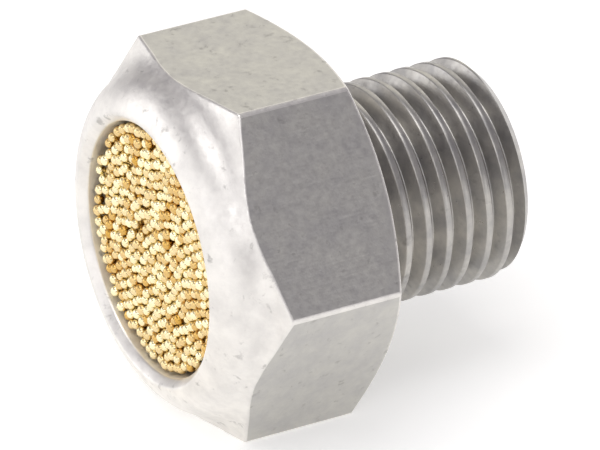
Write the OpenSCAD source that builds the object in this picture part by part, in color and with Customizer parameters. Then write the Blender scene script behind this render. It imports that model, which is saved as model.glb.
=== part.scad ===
// Pneumatic muffler: an aluminium body turned from hexagon bar, with a male pipe thread,
// and a disc of sintered bronze beads pressed into its front, which lets the air out quietly.
//
// The thread's axis lies along Y. The seat under the head is the plane Y = 0, the thread
// runs from it to +Y, and the disc faces -Y. A flat of the hexagon faces up and another down.

/* [Hexagon] */
// Width of the hexagon across its flats
hex_width = 21; // [17.5:0.5:28]
// Length of the six corner edges between the two chamfers
corner_length = 7; // [4:0.5:14]
// Slope of both chamfers, in degrees from the end faces
chamfer_angle = 25; // [15:1:35]
// Diameter of the flat seat that the back chamfer leaves
seat_diameter = 19.6; // [16:0.1:23.6]

/* [Nose] */
// How far the round nose stands in front of the hexagon's front corners
nose_length = 3.2; // [2.6:0.1:5]
// How far the nose's foot stands inside the flats
nose_inset = 0.1; // [0.05:0.05:0.5]
// Width of the cone that eases the front chamfer into the nose
nose_ease = 0.9; // [0.5:0.1:1.2]
// Radius of the nose's round side, from its foot to the rim
nose_round = 3.2; // [2.6:0.1:6]
// Width of the rim around the disc's pocket, with the chamfer at its mouth
rim_width = 0.6; // [0.6:0.1:1.5]
// Chamfer at the pocket's mouth, which leads the disc in
mouth_chamfer = 0.45; // [0.1:0.05:0.5]

/* [Thread] */
// Major diameter of the male thread
thread_diameter = 13.157; // [10.9:0.1:17]
// Distance from one thread crest to the next
thread_pitch = 1.337; // [0.9:0.05:1.8]
// Angle between the two flanks of a groove, in degrees
thread_angle = 55; // [50:5:60]
// Length of the threaded spigot from the seat to its tip
thread_length = 10.8; // [6:0.2:24]
// Plain neck between the seat and the first groove
thread_runout = 1.35; // [0.8:0.1:3]
// Chamfer around the spigot's tip
tip_chamfer = 0.6; // [0.2:0.1:0.8]

/* [Air passage] */
// Diameter of the bore through the spigot
bore_diameter = 8; // [4:0.25:10]
// Chamfer at the bore's mouth
bore_chamfer = 0.3; // [0.1:0.1:0.5]
// Depth of the chamber behind the disc, down to its conical floor
chamber_depth = 2.2; // [1:0.1:4]
// Angle of the chamber's conical floor, as the drill leaves it, in degrees
drill_angle = 118; // [90:2:140]

/* [Sintered disc] */
// Diameter of the disc, and of the pocket that it is pressed into
disc_diameter = 15.2; // [12:0.1:18.5]
// Thickness of the disc
disc_thickness = 3; // [1.5:0.1:5]
// Depth of the disc's face behind the rim
disc_recess = 0.45; // [0.2:0.05:1.5]
// Break around both edges of the disc
disc_edge = 0.15; // [0.05:0.05:0.4]
// Width of the ledge that the disc is pressed against
ledge_width = 1.1; // [0.6:0.1:2.5]

/* [Hidden] */
$fn = 96;
overlap = 1;

seat_r = seat_diameter / 2;
corner_r = hex_width / 2 / cos(30);
slope = tan(chamfer_angle);
back_corner = -(corner_r - seat_r) * slope;
front_corner = back_corner - corner_length;

rim = front_corner - nose_length;
disc_r = disc_diameter / 2;
rim_r = disc_r + rim_width;
foot_r = hex_width / 2 - nose_inset;
foot = front_corner - (corner_r - foot_r) * slope;

thread_r = thread_diameter / 2;
crest_flat = thread_pitch / 6;
flank_length = thread_pitch / 2 - crest_flat;
thread_depth = flank_length / tan(thread_angle / 2);
groove_count = floor((thread_length - thread_runout) / thread_pitch);

bore_r = bore_diameter / 2;
chamber_r = disc_r - ledge_width;
disc_face = rim + disc_recess;
disc_back = disc_face + disc_thickness;
chamber_floor = disc_back + chamber_depth;
chamber_end = chamber_floor + (chamber_r - bore_r) / tan(drill_angle / 2);

// Turns a profile of [radius, distance along the axis] around the thread's axis, which is Y.
module turned() {
    rotate([-90, 0, 0])
        rotate_extrude()
            children();
}

// The chamfers' profile, run past the corners so that the hexagon's flats trim it. The easing
// cone leaves the front chamfer outside the nose's foot, at 45 degrees, and ends in the nose.
module chamfered_profile() {
    past = corner_r + overlap;
    ease_length = 1.8 * nose_ease;
    polygon([
        [0, 0],
        [seat_r, 0],
        [past, back_corner - overlap * slope],
        [past, front_corner + overlap * slope],
        [foot_r + nose_ease, foot + nose_ease * slope],
        [foot_r + nose_ease - ease_length, foot + nose_ease * slope - ease_length],
        [0, foot + nose_ease * slope - ease_length]
    ]);
}

// The nose's profile: a round side that passes through the foot and the rim's outer edge,
// faced off flat at the rim.
module nose_profile() {
    across = foot_r - rim_r;
    along = foot - rim;
    chord = norm([across, along]);
    lean = sqrt(pow(nose_round, 2) - pow(chord / 2, 2)) / chord;
    centre_r = (foot_r + rim_r) / 2 - lean * along;
    centre_y = (foot + rim) / 2 + lean * across;
    intersection() {
        translate([0, rim])
            square([corner_r, -rim]);
        union() {
            translate([centre_r, centre_y])
                circle(r = nose_round);
            translate([0, rim - overlap])
                square([centre_r, along + 2 * overlap]);
        }
    }
}

module head() {
    intersection() {
        rotate([-90, 0, 0])
            translate([0, 0, rim - overlap])
                cylinder(r = corner_r, h = overlap - rim, $fn = 6);
        turned() {
            chamfered_profile();
            nose_profile();
        }
    }
}

// One groove's profile, wider than the crest line so that it cuts clean through it.
module groove_profile() {
    lift = overlap / 10;
    spread = lift * tan(thread_angle / 2);
    polygon([
        [thread_r + lift, -spread],
        [thread_r - thread_depth, flank_length],
        [thread_r - thread_depth, flank_length + crest_flat],
        [thread_r + lift, 2 * flank_length + crest_flat + spread]
    ]);
}

// The grooves are rings at the thread's own pitch and depth, so each crest is a true cylinder.
module spigot() {
    turned() difference() {
        polygon([
            [0, -overlap],
            [thread_r, -overlap],
            [thread_r, thread_length - tip_chamfer],
            [thread_r - tip_chamfer, thread_length],
            [0, thread_length]
        ]);
        for (i = [0:groove_count - 1])
            translate([0, thread_runout + i * thread_pitch])
                groove_profile();
    }
}

// The air's way through the body: pocket, chamber, drilled floor and bore.
module air_passage() {
    turned() polygon([
        [0, rim - overlap],
        [disc_r + mouth_chamfer + overlap, rim - overlap],
        [disc_r, rim + mouth_chamfer],
        [disc_r, disc_back],
        [chamber_r, disc_back],
        [chamber_r, chamber_floor],
        [bore_r, chamber_end],
        [bore_r, thread_length - bore_chamfer],
        [bore_r + bore_chamfer + overlap, thread_length + overlap],
        [0, thread_length + overlap]
    ]);
}

module body() {
    color("silver") difference() {
        union() {
            head();
            spigot();
        }
        air_passage();
    }
}

module sintered_disc() {
    color("darkgoldenrod") turned() polygon([
        [0, disc_face],
        [disc_r - disc_edge, disc_face],
        [disc_r, disc_face + disc_edge],
        [disc_r, disc_back - disc_edge],
        [disc_r - disc_edge, disc_back],
        [0, disc_back]
    ]);
}

body();
sintered_disc();
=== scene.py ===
"""Pneumatic muffler: a tumbled aluminium body with a helical pipe thread, and a disc of
sintered bronze beads pressed into its nose. Pieces are modelled in millimetres and brought
to metres when they are finished."""

import math
import random

import bmesh
import bpy
from mathutils import Matrix, Quaternion, Vector, kdtree


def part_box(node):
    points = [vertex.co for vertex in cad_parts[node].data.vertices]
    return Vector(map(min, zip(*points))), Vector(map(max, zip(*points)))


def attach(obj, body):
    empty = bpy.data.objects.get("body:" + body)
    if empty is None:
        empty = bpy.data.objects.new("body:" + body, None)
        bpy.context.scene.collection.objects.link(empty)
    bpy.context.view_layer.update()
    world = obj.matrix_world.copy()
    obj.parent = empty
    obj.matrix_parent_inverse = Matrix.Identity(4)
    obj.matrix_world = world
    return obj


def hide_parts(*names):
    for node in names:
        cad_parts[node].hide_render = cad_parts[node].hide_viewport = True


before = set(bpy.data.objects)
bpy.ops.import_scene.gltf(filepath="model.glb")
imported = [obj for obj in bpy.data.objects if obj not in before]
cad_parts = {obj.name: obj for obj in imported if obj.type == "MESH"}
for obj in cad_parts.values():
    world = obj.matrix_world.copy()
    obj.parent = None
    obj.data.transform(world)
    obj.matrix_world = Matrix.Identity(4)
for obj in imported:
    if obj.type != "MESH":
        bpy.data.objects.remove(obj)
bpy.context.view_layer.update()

MM = 0.001
body_low, body_high = (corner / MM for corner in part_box("body"))
disc_low, disc_high = (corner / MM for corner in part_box("sintered_disc"))

# The body's sizes, in millimetres, with the thread's axis along Y and its seat at Y = 0.
FLAT = body_high.z
CORNER = body_high.x
TIP = body_high.y
RIM = body_low.y
SEAT_RADIUS = 9.8
CHAMFER_ANGLE = math.radians(25)
CHAMFER_SLOPE = math.tan(CHAMFER_ANGLE)
CORNER_LENGTH = 7.0
NOSE_ROUND = 3.2
EASE_ROUND = 2.4
FOOT_RADIUS = FLAT - 0.1
DISC_RADIUS = disc_high.x
RIM_RADIUS = DISC_RADIUS + 0.6
MOUTH_CHAMFER = 0.45
EDGE_ROUND = 0.2  # how far tumbling has worn back the hexagon's long edges
THREAD_RADIUS = 13.157 / 2
PITCH = 1.337
ROOT_RADIUS = THREAD_RADIUS - 0.6403 * PITCH
FIRST_GROOVE = 1.9065  # where the first groove's middle crosses the +X side
THREAD_TURNS = 8
RUN_OUT = 120  # degrees over which the groove's start leaves the metal
RUN_OUT_LIFT = 0.95  # how far out it has moved by then
RUN_OUT_STEPS = 24
TIP_CHAMFER = 0.6
BORE_RADIUS = 4.0
BORE_CHAMFER = 0.3
CHAMBER_RADIUS = DISC_RADIUS - 1.1
CHAMBER_FLOOR = disc_high.y + 2.2
DRILL_HALF_ANGLE = math.radians(59)
CHAMBER_END = CHAMBER_FLOOR + (CHAMBER_RADIUS - BORE_RADIUS) / math.tan(DRILL_HALF_ANGLE)
BACK_CORNER = -(CORNER - SEAT_RADIUS) * CHAMFER_SLOPE
FRONT_CORNER = BACK_CORNER - CORNER_LENGTH
FOOT = FRONT_CORNER - (CORNER - FOOT_RADIUS) * CHAMFER_SLOPE
SEGMENTS = 144

# The disc's sizes, in millimetres.
BEAD_RADIUS = 0.35
LAYER_DEPTH = 0.5


# ---- Helpers -------------------------------------------------------------------------


def colour(code):
    """A linear colour from an sRGB hex code such as C8B070."""
    parts = [int(code[i : i + 2], 16) / 255 for i in (0, 2, 4)]
    return [
        c / 12.92 if c <= 0.04045 else ((c + 0.055) / 1.055) ** 2.4 for c in parts
    ] + [1.0]


def add_node(tree, kind, settings=None, **inputs):
    """Adds a node, gives it its settings, and sets or links its inputs. An input is named by its
    socket, with spaces as underscores, or by i and its number. A linked one is (node, output)."""
    made = tree.nodes.new(kind)
    for name, value in (settings or {}).items():
        setattr(made, name, value)
    for name, value in inputs.items():
        if name[0] == "i" and name[1:].isdigit():
            socket = made.inputs[int(name[1:])]
        else:
            socket = made.inputs[name.replace("_", " ")]
        if isinstance(value, tuple) and isinstance(value[0], bpy.types.Node):
            tree.links.new(value[0].outputs[value[1]], socket)
        else:
            socket.default_value = value
    return made


def start_material(name):
    """A new material with no nodes yet, and its node tree."""
    made = bpy.data.materials.new(name)
    made.use_nodes = True
    made.node_tree.nodes.clear()
    return made, made.node_tree


def deselect():
    """Leaves edit mode and selects nothing."""
    if bpy.context.mode != "OBJECT":
        bpy.ops.object.mode_set(mode="OBJECT")
    bpy.ops.object.select_all(action="DESELECT")


def activate(piece):
    """Selects only that piece, in object mode."""
    deselect()
    piece.select_set(True)
    bpy.context.view_layer.objects.active = piece


def edit(piece):
    """Opens only that piece in edit mode."""
    activate(piece)
    bpy.ops.object.mode_set(mode="EDIT")


def pick(piece, kind, test):
    """In edit mode, selects only the corners, edges or faces that pass the test."""
    bpy.ops.mesh.select_all(action="DESELECT")
    bpy.ops.mesh.select_mode(type=kind)
    mesh = bmesh.from_edit_mesh(piece.data)
    parts = {"VERT": mesh.verts, "EDGE": mesh.edges, "FACE": mesh.faces}[kind]
    for part in parts:
        if test(part):
            part.select_set(True)
    mesh.select_flush_mode()
    bmesh.update_edit_mesh(piece.data)


def draw_line(name, points):
    """A closed line of edges through [radius, Y] points, drawn on the +X side by extruding
    one corner from point to point."""
    deselect()
    bpy.ops.mesh.primitive_plane_add(size=1)
    piece = bpy.context.object
    piece.name = piece.data.name = name
    edit(piece)
    bpy.ops.mesh.select_mode(type="VERT")
    bpy.ops.mesh.select_all(action="SELECT")
    bpy.ops.mesh.merge(type="CENTER")
    here = Vector((*points[0], 0))
    bpy.ops.transform.translate(value=here)
    for point in [*points[1:], points[0]]:
        there = Vector((*point, 0))
        bpy.ops.mesh.extrude_region_move(TRANSFORM_OT_translate={"value": there - here})
        here = there
    bpy.ops.mesh.select_all(action="SELECT")
    bpy.ops.mesh.remove_doubles(threshold=0.0001)
    return piece


def round_corner(piece, radius, along, size, steps=3):
    """Rounds the drawn line's corner at that radius and Y."""
    place = Vector((radius, along, 0))
    pick(piece, "VERT", lambda v: (v.co - place).length < 0.01)
    bpy.ops.mesh.bevel(offset=size, segments=steps, affect="VERTICES")


def assign(piece, number, test):
    """Gives the faces that pass the test the piece's material of that number."""
    pick(piece, "FACE", test)
    piece.active_material_index = number
    bpy.ops.object.material_slot_assign()


def to_metres(piece, smooth_angle):
    """Brings a finished piece from millimetres to metres and smooths it up to that angle."""
    activate(piece)
    piece.scale = (MM, MM, MM)
    bpy.ops.object.transform_apply(location=True, rotation=True, scale=True)
    bpy.ops.object.shade_smooth_by_angle(angle=math.radians(smooth_angle))


# ---- Materials -----------------------------------------------------------------------


def aluminium(name, light, dark, rough, lines_per_mm, line_depth, grain_depth):
    """Bare aluminium between two tones. lines_per_mm is the line pattern's along X, Y and Z,
    and the two depths are the bump's, in millimetres."""
    made, tree = start_material(name)
    place = add_node(tree, "ShaderNodeTexCoord")
    mm = add_node(tree, "ShaderNodeMapping", Vector=(place, "Object"), Scale=(1000, 1000, 1000))
    at = (mm, "Vector")
    lines_at = add_node(tree, "ShaderNodeMapping", Vector=at, Scale=lines_per_mm)
    lines = add_node(tree, "ShaderNodeTexNoise", Vector=(lines_at, "Vector"), Scale=1.0, Detail=3.0)
    # Clouds about 1.7 mm wide, where tumbling has dulled the metal unevenly.
    clouds = add_node(
        tree, "ShaderNodeTexNoise", Vector=at, Scale=0.6, Detail=6.0, Roughness=0.65
    )
    # Sparse dark scuffs, the tips of a pattern 0.8 mm wide.
    scuffs = add_node(
        tree, "ShaderNodeTexNoise", Vector=at, Scale=1.3, Detail=4.0, Roughness=0.6, Distortion=0.3
    )
    # Peened grain 0.4 mm across.
    grain = add_node(
        tree, "ShaderNodeTexNoise", Vector=at, Scale=2.6, Detail=4.0, Roughness=0.6
    )
    cloudy = add_node(
        tree, "ShaderNodeMapRange", Value=(clouds, "Fac"), From_Min=0.36, From_Max=0.64
    )
    tint = add_node(
        tree,
        "ShaderNodeMix",
        {"data_type": "RGBA"},
        i0=(cloudy, "Result"),
        i6=colour(dark),
        i7=colour(light),
    )
    scuffed = add_node(
        tree,
        "ShaderNodeMapRange",
        Value=(scuffs, "Fac"),
        From_Min=0.62,
        From_Max=0.72,
        To_Max=0.5,
    )
    dulled = add_node(
        tree,
        "ShaderNodeMix",
        {"data_type": "RGBA"},
        i0=(scuffed, "Result"),
        i6=(tint, 2),
        i7=colour("8F8C88"),
    )
    roughness = add_node(
        tree,
        "ShaderNodeMapRange",
        Value=(grain, "Fac"),
        From_Min=0.3,
        From_Max=0.7,
        To_Min=rough - 0.07,
        To_Max=rough + 0.09,
    )
    grained = add_node(
        tree, "ShaderNodeBump", Height=(grain, "Fac"), Distance=grain_depth * MM, Strength=1.0
    )
    scored = add_node(
        tree,
        "ShaderNodeBump",
        Height=(lines, "Fac"),
        Distance=line_depth * MM,
        Strength=1.0,
        Normal=(grained, "Normal"),
    )
    metal = add_node(
        tree,
        "ShaderNodeBsdfPrincipled",
        Base_Color=(dulled, 2),
        Metallic=1.0,
        Roughness=(roughness, "Result"),
        Normal=(scored, "Normal"),
    )
    add_node(tree, "ShaderNodeOutputMaterial", Surface=(metal, "BSDF"))
    return made


def bronze(name, dark, light, rough):
    """Sintered bronze. Each bead's own tone comes from its tone attribute."""
    made, tree = start_material(name)
    tone = add_node(tree, "ShaderNodeAttribute", {"attribute_name": "tone"})
    tint = add_node(
        tree,
        "ShaderNodeMix",
        {"data_type": "RGBA"},
        i0=(tone, "Fac"),
        i6=colour(dark),
        i7=colour(light),
    )
    metal = add_node(
        tree,
        "ShaderNodeBsdfPrincipled",
        Base_Color=(tint, 2),
        Metallic=1.0,
        Roughness=rough,
    )
    add_node(tree, "ShaderNodeOutputMaterial", Surface=(metal, "BSDF"))
    return made


# The flats are the bar's own drawn skin: satin grey, with faint lines 0.14 mm apart along Y.
drawn_aluminium = aluminium(
    "drawn_aluminium", "CAC8C2", "BFBDBA", 0.4, (7, 0.25, 7), 0.006, 0.02
)
# The nose, chamfers and seat are turned and then tumbled: paler, softer and nearly without lines.
turned_aluminium = aluminium(
    "turned_aluminium", "ECE9E4", "DCD9D5", 0.42, (2, 6, 2), 0.003, 0.015
)
# The thread is painted darker than the other metal, as painted shade for its grooves, with sharper
# lights on its crests.
threaded_aluminium_painted_shade = aluminium(
    "threaded_aluminium_painted_shade", "BFBCB6", "A5A3A1", 0.34, (1, 5, 1), 0.003, 0.01
)
# The drilled insides are rough and painted near-white: painted light that lifts the shaded walls of
# the pocket, chamber and bore where light reaches them.
drilled_aluminium_painted_light = aluminium(
    "drilled_aluminium_painted_light", "FFFBF2", "F4EFE4", 0.65, (1, 5, 1), 0.006, 0.01
)
# Clean bronze beads: pale gold with a small sharp light on each.
bead_bronze = bronze("bead_bronze", "CE9F44", "FFF4CA", 0.26)
# The inside of the disc: brown and dull, as little light gets out from between its beads.
core_bronze = bronze("core_bronze", "6A4814", "8A6426", 0.6)


# ---- Body ----------------------------------------------------------------------------

# The nose's round side: an arc from the foot of the nose to the rim, eased into the front
# chamfer by a hollow arc that touches both.
across, along = FOOT_RADIUS - RIM_RADIUS, FOOT - RIM
chord = math.hypot(across, along)
lean = math.sqrt(NOSE_ROUND**2 - (chord / 2) ** 2) / chord
arc_x = (FOOT_RADIUS + RIM_RADIUS) / 2 - lean * along
arc_y = (FOOT + RIM) / 2 + lean * across
arc_centre = Vector((arc_x, arc_y))


def ease_centre(radius):
    """The hollow arc's centre if it stood at that radius: EASE_ROUND clear of the chamfer."""
    chamfer_y = FRONT_CORNER + (radius - CORNER) * CHAMFER_SLOPE
    return Vector((radius, chamfer_y - EASE_ROUND / math.cos(CHAMFER_ANGLE)))


# Halving finds where the two arcs touch.
low, high = FOOT_RADIUS, FOOT_RADIUS + 2 * EASE_ROUND
for _ in range(50):
    middle = (low + high) / 2
    if (ease_centre(middle) - arc_centre).length < NOSE_ROUND + EASE_ROUND:
        low = middle
    else:
        high = middle
ease = ease_centre(low)
touch = arc_centre + (ease - arc_centre).normalized() * NOSE_ROUND


def arc_points(centre, radius, start, end, steps):
    """Points along an arc from one angle to another, with both ends."""
    turns = [start + (end - start) * i / steps for i in range(steps + 1)]
    return [(centre.x + radius * math.cos(t), centre.y + radius * math.sin(t)) for t in turns]


ease_to = math.atan2(touch.y - ease.y, touch.x - ease.x)
nose = arc_points(ease, EASE_ROUND, math.pi / 2 + CHAMFER_ANGLE, ease_to, 5)
arc_from = math.atan2(touch.y - arc_y, touch.x - arc_x)
arc_to = math.atan2(RIM - arc_y, RIM_RADIUS - arc_x)
nose += arc_points(arc_centre, NOSE_ROUND, arc_from, arc_to, 12)[1:]

# The bar stock stands out past the corners until its flats are sawn.
PAST = CORNER + 0.5
blank = draw_line(
    "body_aluminium",
    [
        (BORE_RADIUS, CHAMBER_END),
        (BORE_RADIUS, TIP - BORE_CHAMFER),
        (BORE_RADIUS + BORE_CHAMFER, TIP),
        (THREAD_RADIUS - TIP_CHAMFER, TIP),
        (THREAD_RADIUS, TIP - TIP_CHAMFER),
        (THREAD_RADIUS, 0),
        (SEAT_RADIUS, 0),
        (PAST, -(PAST - SEAT_RADIUS) * CHAMFER_SLOPE),
        (PAST, FRONT_CORNER + (PAST - CORNER) * CHAMFER_SLOPE),
        *nose,
        (DISC_RADIUS + MOUTH_CHAMFER, RIM),
        (DISC_RADIUS, RIM + MOUTH_CHAMFER),
        (DISC_RADIUS, disc_high.y),
        (CHAMBER_RADIUS, disc_high.y),
        (CHAMBER_RADIUS, CHAMBER_FLOOR),
    ],
)
round_corner(blank, RIM_RADIUS, RIM, 0.07, 3)
round_corner(blank, DISC_RADIUS + MOUTH_CHAMFER, RIM, 0.07, 3)
round_corner(blank, DISC_RADIUS, RIM + MOUTH_CHAMFER, 0.1, 3)
round_corner(blank, SEAT_RADIUS, 0, 0.15, 3)
round_corner(blank, THREAD_RADIUS, 0, 0.15, 3)
round_corner(blank, THREAD_RADIUS - TIP_CHAMFER, TIP, 0.08, 2)
round_corner(blank, BORE_RADIUS + BORE_CHAMFER, TIP, 0.06, 2)

# Turned on the lathe: the line spun round the thread's axis.
bpy.ops.mesh.select_all(action="SELECT")
bpy.ops.mesh.spin(
    steps=SEGMENTS, angle=math.tau, center=(0, 0, 0), axis=(0, 1, 0), use_auto_merge=True
)
bpy.ops.mesh.select_all(action="SELECT")
bpy.ops.mesh.remove_doubles(threshold=0.0005)
bpy.ops.mesh.normals_make_consistent(inside=False)

# Six flats, sawn off the blank one by one.
flats = [
    Vector((math.cos(math.radians(a)), 0, math.sin(math.radians(a)))) for a in range(30, 390, 60)
]
for flat in flats:
    bpy.ops.mesh.select_all(action="SELECT")
    bpy.ops.mesh.bisect(
        plane_co=flat * FLAT, plane_no=flat, use_fill=True, clear_outer=True, threshold=0.0001
    )


def on_flat(point):
    """Whether a point lies on one of the six flats."""
    return max(flat.dot(point) for flat in flats) > FLAT - 0.001


# Tumbling has rounded the hexagon's edges: all of it at the six corners and at the chamfers,
# and less and less where the hollow ease of the nose meets a flat.
FULL_ANGLE, NO_ANGLE = 1.0, 0.35
mesh = bmesh.from_edit_mesh(blank.data)
weight = mesh.edges.layers.float.new("bevel_weight_edge")
for edge in mesh.edges:
    if len(edge.link_faces) == 2 and all(on_flat(v.co) for v in edge.verts):
        sharp = (edge.calc_face_angle() - NO_ANGLE) / (FULL_ANGLE - NO_ANGLE)
        is_long = abs(edge.verts[0].co.y - edge.verts[1].co.y) > 2
        edge[weight] = min(max(sharp, 0), 1) * (1.0 if is_long else 0.65)
bmesh.update_edit_mesh(blank.data)
bpy.ops.object.mode_set(mode="OBJECT")
rounding = blank.modifiers.new("rounding", "BEVEL")
rounding.width = EDGE_ROUND
rounding.segments = 4
rounding.limit_method = "WEIGHT"
rounding.use_clamp_overlap = False
rounding.loop_slide = False
bpy.ops.object.modifier_apply(modifier=rounding.name)

# The thread: a groove's section, screwed round the axis, and cut out of the blank. Half of the
# section, from its middle: a rounded root, a flank, and the crest's rounding.
half = [
    (0.045, ROOT_RADIUS + 0.012),
    (0.08, ROOT_RADIUS + 0.05),
    (0.45, THREAD_RADIUS - 0.065),
    (0.47, THREAD_RADIUS - 0.034),
    (0.497, THREAD_RADIUS - 0.012),
    (0.532, THREAD_RADIUS + 0.01),
    (0.56, THREAD_RADIUS + 0.15),
]
groove_start = FIRST_GROOVE - PITCH * RUN_OUT / 360
section = [(r, groove_start - s) for s, r in reversed(half)]
section += [(ROOT_RADIUS, groove_start)]
section += [(r, groove_start + s) for s, r in half]
cutter = draw_line("groove_cutter", section)
bpy.ops.object.mode_set(mode="OBJECT")
screw = cutter.modifiers.new("screw", "SCREW")
screw.axis = "Y"
screw.angle = math.tau
screw.screw_offset = PITCH
screw.iterations = THREAD_TURNS
screw.steps = screw.render_steps = SEGMENTS
screw.use_merge_vertices = True
screw.merge_threshold = 0.0002
bpy.ops.object.modifier_apply(modifier=screw.name)
edit(cutter)
bpy.ops.mesh.select_all(action="SELECT")
bpy.ops.mesh.fill_holes(sides=0)
bpy.ops.mesh.normals_make_consistent(inside=False)
# The tool leaves the work slowly: the groove's start is drawn on and out over a third of a turn.
step_angle = RUN_OUT / RUN_OUT_STEPS
lift = RUN_OUT_LIFT / RUN_OUT_STEPS
pick(
    cutter,
    "FACE",
    lambda f: len(f.verts) > 4
    and abs(f.calc_center_median().z) < 0.01
    and f.calc_center_median().y < groove_start + 0.5,
)
for i in range(RUN_OUT_STEPS):
    bpy.ops.mesh.extrude_region_move()
    turned = math.radians(step_angle * (i + 1))
    bpy.ops.transform.rotate(
        value=math.radians(step_angle),
        orient_axis="Y",
        orient_type="GLOBAL",
        center_override=(0, 0, 0),
    )
    bpy.ops.transform.translate(
        value=(lift * math.cos(turned), -PITCH * step_angle / 360, lift * math.sin(turned))
    )
activate(cutter)
cutter.rotation_euler = (0, -math.radians(RUN_OUT), 0)
bpy.ops.object.transform_apply(location=True, rotation=True, scale=True)

activate(blank)
cut = blank.modifiers.new("thread", "BOOLEAN")
cut.operation = "DIFFERENCE"
cut.solver = "EXACT"
cut.object = cutter
bpy.ops.object.modifier_apply(modifier=cut.name)
bpy.data.objects.remove(cutter)
edit(blank)
bpy.ops.mesh.select_all(action="SELECT")
bpy.ops.mesh.remove_doubles(threshold=0.001)
bpy.ops.mesh.dissolve_degenerate(threshold=0.001)

SPIGOT_WALL = 5.5  # a radius between the bore and the roots of the thread


def radius_of(point):
    """A point's distance from the thread's axis."""
    return math.hypot(point.x, point.z)


def is_drilled(face):
    """Whether a face looks inwards and belongs to the pocket, the chamber or the bore."""
    middle = face.calc_center_median()
    inwards = middle.dot(Vector((face.normal.x, 0, face.normal.z))) < -0.5
    inside = radius_of(middle) < (SPIGOT_WALL if middle.y > 0 else DISC_RADIUS + 0.01)
    return inwards and inside and middle.y < TIP - 0.05


for made in (turned_aluminium, drawn_aluminium, threaded_aluminium_painted_shade, drilled_aluminium_painted_light):
    blank.data.materials.append(made)
assign(blank, 1, lambda f: abs(f.normal.y) < 0.1 and on_flat(f.calc_center_median()))
# The thread gets the darker material, painted shade for its grooves.
assign(
    blank,
    2,
    lambda f: f.calc_center_median().y > 0.1 and radius_of(f.calc_center_median()) > SPIGOT_WALL,
)
# The pocket, chamber and bore get the near-white material, painted light for their shaded walls.
assign(blank, 3, is_drilled)
to_metres(blank, 40)
# The big flat faces keep their own direction up to their rounded edges.
weighted = blank.modifiers.new("weighted", "WEIGHTED_NORMAL")
weighted.weight = 100
weighted.keep_sharp = True
bpy.ops.object.modifier_apply(modifier=weighted.name)
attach(blank, "root")
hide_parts("body")


# ---- Bead disc -----------------------------------------------------------------------


def pack_beads(seed, reach, count):
    """Middles of beads shaken into one layer inside that radius: random places that push each
    other apart until they nearly touch."""
    rng = random.Random(seed)
    places, sizes = [], []
    for _ in range(count):
        r, t = reach * math.sqrt(rng.random()), rng.random() * math.tau
        places.append(Vector((r * math.cos(t), 0, r * math.sin(t))))
        sizes.append(BEAD_RADIUS * rng.uniform(0.86, 1.06))
    for _ in range(90):
        tree = kdtree.KDTree(count)
        for i, place in enumerate(places):
            tree.insert(place, i)
        tree.balance()
        moved = []
        for i, place in enumerate(places):
            push = Vector((0, 0, 0))
            for near, j, far in tree.find_range(place, 2.2 * BEAD_RADIUS):
                gap = sizes[i] + sizes[j]
                if j != i and far < gap:
                    away = place - near
                    push += away.normalized() * (gap - far) * 0.45
            new = place + push
            if new.length > reach:
                new *= reach / new.length
            moved.append(new)
        places = moved
    return zip(places, sizes)


def add_layer(first, seed, reach, count, middle, scatter, darkness):
    """Copies of the first bead in one layer, each with its own mesh, turn, size and tone. They lie
    up to scatter behind middle, and the greater the darkness, the fewer of them are pale: painted
    shade, given more to the deeper layers."""
    rng = random.Random(seed + 1)
    made = []
    for place, size in pack_beads(seed, reach, count):
        mesh = first.data.copy()
        turn = Quaternion([rng.gauss(0, 1) for _ in range(4)])
        turn.normalize()
        place = place + Vector((0, middle + scatter * rng.random(), 0))
        mesh.transform(
            Matrix.Translation(place) @ turn.to_matrix().to_4x4() @ Matrix.Scale(size, 4)
        )
        tone = mesh.attributes.new("tone", "FLOAT", "FACE")
        value = rng.uniform(0, 1) ** darkness
        tone.data.foreach_set("value", [value] * len(mesh.polygons))
        bead = bpy.data.objects.new("bead", mesh)
        bpy.context.scene.collection.objects.link(bead)
        made.append(bead)
    return made


deselect()
bpy.ops.mesh.primitive_uv_sphere_add(segments=8, ring_count=6, radius=1)
first_bead = bpy.context.object
first_bead.data.materials.append(bead_bronze)
# The face, the layer behind it, which shows between the face's beads, and the back. The two deeper
# layers get darker tones, painted shade for the gaps between the face's beads.
edge_reach = DISC_RADIUS - BEAD_RADIUS * 1.05
front_reach = edge_reach - 0.14
front_y = disc_low.y + BEAD_RADIUS * 1.06
second_y = disc_low.y + BEAD_RADIUS + LAYER_DEPTH
back_y = disc_high.y - BEAD_RADIUS * 1.06 - 0.15
beads = add_layer(first_bead, 11, front_reach, 395, front_y, 0.16, 0.6)
beads += add_layer(first_bead, 23, front_reach, 370, second_y, 0.15, 1.6)
beads += add_layer(first_bead, 37, edge_reach, 400, back_y, 0.15, 1.2)
bpy.data.objects.remove(first_bead)
deselect()
for bead in beads:
    bead.select_set(True)
bead_disc = beads[0]
bpy.context.view_layer.objects.active = bead_disc
bpy.ops.object.join()
bead_disc.name = bead_disc.data.name = "sintered_beads"
to_metres(bead_disc, 180)
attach(bead_disc, "root")
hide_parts("sintered_disc")

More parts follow.
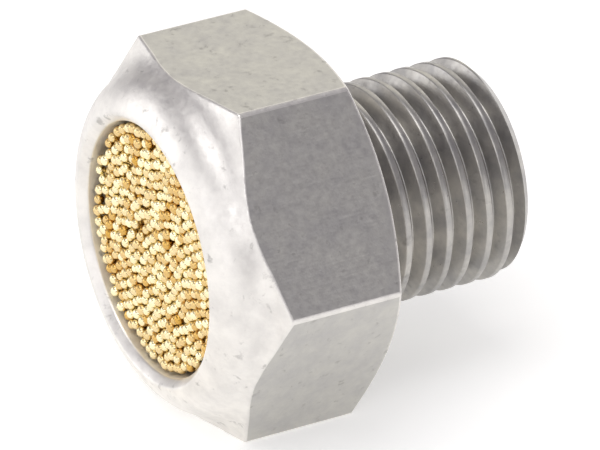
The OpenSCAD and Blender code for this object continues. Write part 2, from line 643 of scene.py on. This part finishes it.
# The mass between the layers, only seen as darkness between their beads.
deselect()
core_front, core_back = disc_low.y + 1.15, disc_high.y - 0.7
bpy.ops.mesh.primitive_cylinder_add(
    vertices=96,
    radius=DISC_RADIUS - 0.3,
    depth=core_back - core_front,
    location=(0, (core_front + core_back) / 2, 0),
    rotation=(math.pi / 2, 0, 0),
)
core = bpy.context.object
core.name = core.data.name = "sintered_core"
bpy.ops.object.transform_apply(location=True, rotation=True, scale=True)
edit(core)
pick(core, "FACE", lambda f: len(f.verts) > 4)
bpy.ops.mesh.inset(thickness=0.2, use_individual=True)
bpy.ops.mesh.inset(thickness=0.6, use_individual=True)
bpy.ops.mesh.select_all(action="DESELECT")
pick(core, "EDGE", lambda e: len(e.link_faces) == 2 and e.calc_face_angle() > 1)
bpy.ops.mesh.bevel(offset=0.1, segments=2, affect="EDGES")
bpy.ops.object.mode_set(mode="OBJECT")
core.data.materials.append(core_bronze)
to_metres(core, 40)
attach(core, "root")
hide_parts("sintered_disc")


# ---- Studio --------------------------------------------------------------------------

deselect()
# The floor lies a hair below the lower flat, so that the two don't share a plane.
bpy.ops.mesh.primitive_plane_add(size=6, location=(0, 0, (body_low.z - 0.02) * MM))
floor = bpy.context.object
floor.name = "floor"
made, tree = start_material("matt_white_sheet")
sheet = add_node(
    tree,
    "ShaderNodeBsdfPrincipled",
    Base_Color=colour("F4F4F2"),
    Roughness=0.9,
    Emission_Color=(1, 1, 1, 1),
    Emission_Strength=0.35,
)
add_node(tree, "ShaderNodeOutputMaterial", Surface=(sheet, "BSDF"))
floor.data.materials.append(made)

# The metal mirrors grey walls all round it, and the camera sees white behind it.
world = bpy.data.worlds.new("studio")
bpy.context.scene.world = world
world.use_nodes = True
tree = world.node_tree
tree.nodes.clear()
seen = add_node(tree, "ShaderNodeLightPath")
around = add_node(tree, "ShaderNodeBackground", Color=colour("A3A0A5"), Strength=1.0)
behind = add_node(tree, "ShaderNodeBackground", Color=colour("FFFFFF"), Strength=1.0)
both = add_node(
    tree, "ShaderNodeMixShader", i0=(seen, "Is Camera Ray"), i1=(around, 0), i2=(behind, 0)
)
add_node(tree, "ShaderNodeOutputWorld", Surface=(both, 0))


def direction(azimuth, elevation):
    """The direction from the muffler to a place at that azimuth and elevation, in degrees."""
    a, e = math.radians(azimuth), math.radians(elevation)
    return Vector((math.sin(a) * math.cos(e), -math.cos(a) * math.cos(e), math.sin(e)))


def soft_box(name, azimuth, elevation, distance, size, power, tint="FFFFFF"):
    """A square soft box that faces the muffler, from that azimuth and elevation in degrees and
    that distance in metres."""
    data = bpy.data.lights.new(name, "AREA")
    data.shape = "SQUARE"
    data.size = size
    data.energy = power
    data.color = colour(tint)[:3]
    lamp = bpy.data.objects.new(name, data)
    bpy.context.scene.collection.objects.link(lamp)
    away = direction(azimuth, elevation)
    lamp.location = away * distance
    lamp.rotation_mode = "QUATERNION"
    lamp.rotation_quaternion = (-away).to_track_quat("-Z", "Y")
    lamp.visible_camera = False


soft_box("front_box", 12, 6, 0.9, 0.9, 2.7)
soft_box("left_box", -44, 10, 0.9, 0.6, 1.9)
soft_box("back_box", -120, 28, 0.9, 0.7, 1.2, "FCFAEA")
soft_box("right_box", 112, -2, 0.9, 0.5, 0.7)
soft_box("rear_box", -158, 10, 0.9, 0.6, 1.3)
soft_box("side_box", 55, 32, 0.9, 0.35, 1.0)
soft_box("top_box", 20, 75, 0.9, 0.6, 2.8)

# A long lens, in front of the disc on the +X side and above it, and nearly level.
CAMERA_AZIMUTH, CAMERA_ELEVATION, CAMERA_ROLL = 61.462, 26.975, -0.838
CAMERA_DISTANCE = 0.464427
CAMERA_AIM = Vector((-0.0014084, -0.0002193, -0.0017416))
data = bpy.data.cameras.new("camera")
data.sensor_width = 36
data.lens = 480
data.clip_start, data.clip_end = 0.01, 10
camera = bpy.data.objects.new("camera", data)
bpy.context.scene.collection.objects.link(camera)
away = direction(CAMERA_AZIMUTH, CAMERA_ELEVATION)
camera.location = CAMERA_AIM + away * CAMERA_DISTANCE
camera.rotation_mode = "QUATERNION"
camera.rotation_quaternion = (-away).to_track_quat("-Z", "Y") @ Quaternion(
    (0, 0, 1), math.radians(CAMERA_ROLL)
)
bpy.context.scene.camera = camera
bpy.context.scene.view_settings.view_transform = "Standard"
